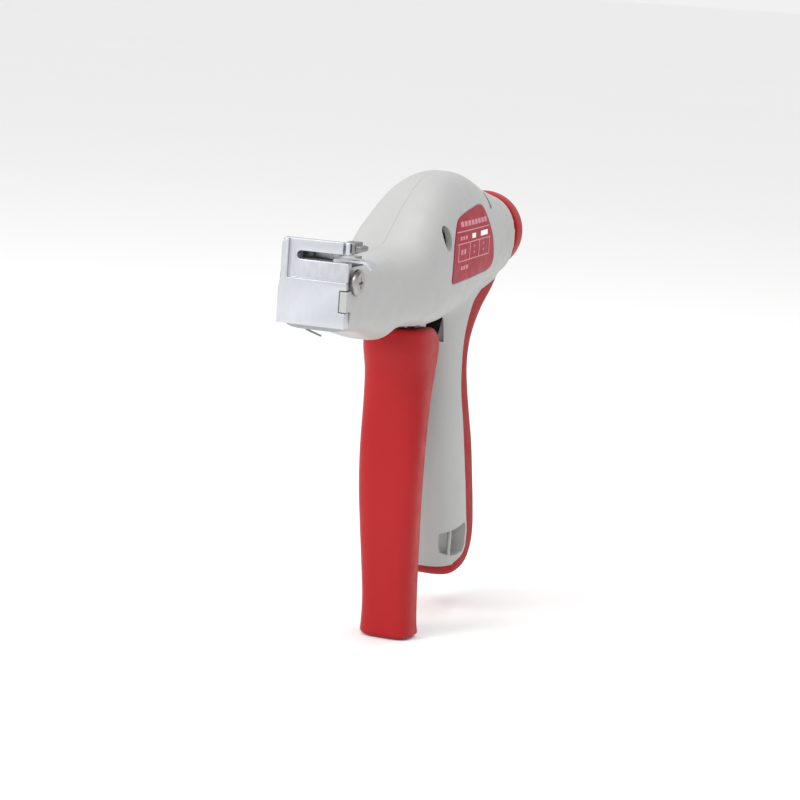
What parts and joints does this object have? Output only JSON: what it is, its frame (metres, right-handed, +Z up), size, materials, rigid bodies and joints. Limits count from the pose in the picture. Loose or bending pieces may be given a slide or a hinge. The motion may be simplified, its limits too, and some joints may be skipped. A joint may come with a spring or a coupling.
{
  "type": "cable tie tension and cut-off gun",
  "caption": "Pistol-grip hand tool that pulls a cable tie tight and cuts off its tail, with a long trigger and a rear tension knob.",
  "frame": {"origin": "on the flat nose face that a tie's head rests on, in the tool's middle plane, 4 mm under the middle of the tie slot", "axes": "+Y from the nose to the rear knob, +X to the tool's left, +Z up, away from the handle"},
  "size_m": [0.0378, 0.1952, 0.1775],
  "materials": {
    "grey_plastic": "light warm-grey glass-filled nylon, fine satin moulded texture",
    "red_plastic": "red moulded nylon, low satin sheen",
    "red_rubber": "red overmoulded soft grip, matt",
    "label_red": null,
    "plated_steel": "bright satin nickel-plated steel",
    "steel": "plain steel",
    "screw_steel": "slightly warm satin steel",
    "dark_steel": "blackened steel",
    "spring_steel": "bright spring wire",
    "black_plastic": "black nylon",
    "brass": "bronze bush",
    "aluminium": "turned aluminium"
  },
  "bodies": {
    "housing": {"left_shell": "grey_plastic", "right_shell": "grey_plastic", "nose_plate": "plated_steel", "nose_frame": "steel", "upper_jaw": "dark_steel", "tie_guide": "plated_steel", "nose_screws": "screw_steel", "shell_screws": "dark_steel", "grip_pad": "red_rubber", "label_plate": "label_red", "trigger_pin": "steel", "lever_pin": "steel", "rod_bush": "black_plastic", "rear_bush": "brass", "wire_clip": "dark_steel", "return_spring": "spring_steel", "tension_spring": "spring_steel"},
    "trigger": {"trigger_grip": "red_plastic", "trigger_frame": "steel", "link_rear_pin": "steel"},
    "links": {"drive_links": "steel"},
    "carriage": {"gripper_carriage": "dark_steel", "link_front_pin": "steel", "pawl_pin": "steel", "pawl_spring": "spring_steel"},
    "pawl": {"grip_pawl": "steel"},
    "cutoff": {"cutoff_lever": "dark_steel"},
    "blade": {"cutter_blade": "plated_steel"},
    "rod": {"plunger": "steel"},
    "nut": {"tension_nut": "steel"},
    "knob": {"tension_screw": "steel", "knob_core": "aluminium", "knob_cap": "red_plastic", "knob_screw": "steel"}
  },
  "joints": [
    {"name": "trigger_squeeze", "type": "hinge", "parent": "housing", "child": "trigger", "pos_m": [0, 0.106, 0.008], "axis": [1, 0, 0], "range_deg": [0, 12], "stiffness_Nm_per_rad": 1.6, "springref_deg": -34.38},
    {"name": "carriage_pull", "type": "slide", "parent": "housing", "child": "carriage", "axis": [0, 1, 0], "range_m": [0, 0.0054], "deforming": ["return_spring"]},
    {"name": "link_swing", "type": "hinge", "parent": "trigger", "child": "links", "pos_m": [0, 0.1, -0.016], "axis": [1, 0, 0], "range_deg": [-13, 0]},
    {"name": "pawl_lift", "type": "hinge", "parent": "carriage", "child": "pawl", "pos_m": [0, 0.016, -0.0035], "axis": [1, 0, 0], "range_deg": [0, 10], "stiffness_Nm_per_rad": 0.01, "springref_deg": -11.46, "deforming": ["pawl_spring"]},
    {"name": "cutoff_swing", "type": "hinge", "parent": "housing", "child": "cutoff", "pos_m": [0, 0.04, -0.016], "axis": [1, 0, 0], "range_deg": [-4.8, 0]},
    {"name": "blade_slide", "type": "slide", "parent": "housing", "child": "blade", "axis": [0, 0, 1], "range_m": [0, 0.003]},
    {"name": "plunger_slide", "type": "slide", "parent": "housing", "child": "rod", "axis": [0, 1, 0], "range_m": [0, 0.0012], "stiffness_N_per_m": 2000, "springref_m": -0.001},
    {"name": "nut_travel", "type": "slide", "parent": "housing", "child": "nut", "axis": [0, 1, 0], "range_m": [-0.003, 0], "deforming": ["tension_spring"]},
    {"name": "knob_turn", "type": "hinge", "parent": "housing", "child": "knob", "pos_m": [0, 0.18, -0.001], "axis": [0, 1, 0], "range_deg": [-720, 0]}
  ],
  "couplings": [
    {"joint": "carriage_pull", "follows": "trigger_squeeze", "m_per_rad": 0.02512},
    {"joint": "link_swing", "follows": "trigger_squeeze", "ratio": -1.054},
    {"joint": "cutoff_swing", "follows": "plunger_slide", "rad_per_m": -68.97},
    {"joint": "blade_slide", "follows": "plunger_slide", "ratio": 2.414},
    {"joint": "nut_travel", "follows": "knob_turn", "m_per_rad": 0.0002387}
  ]
}
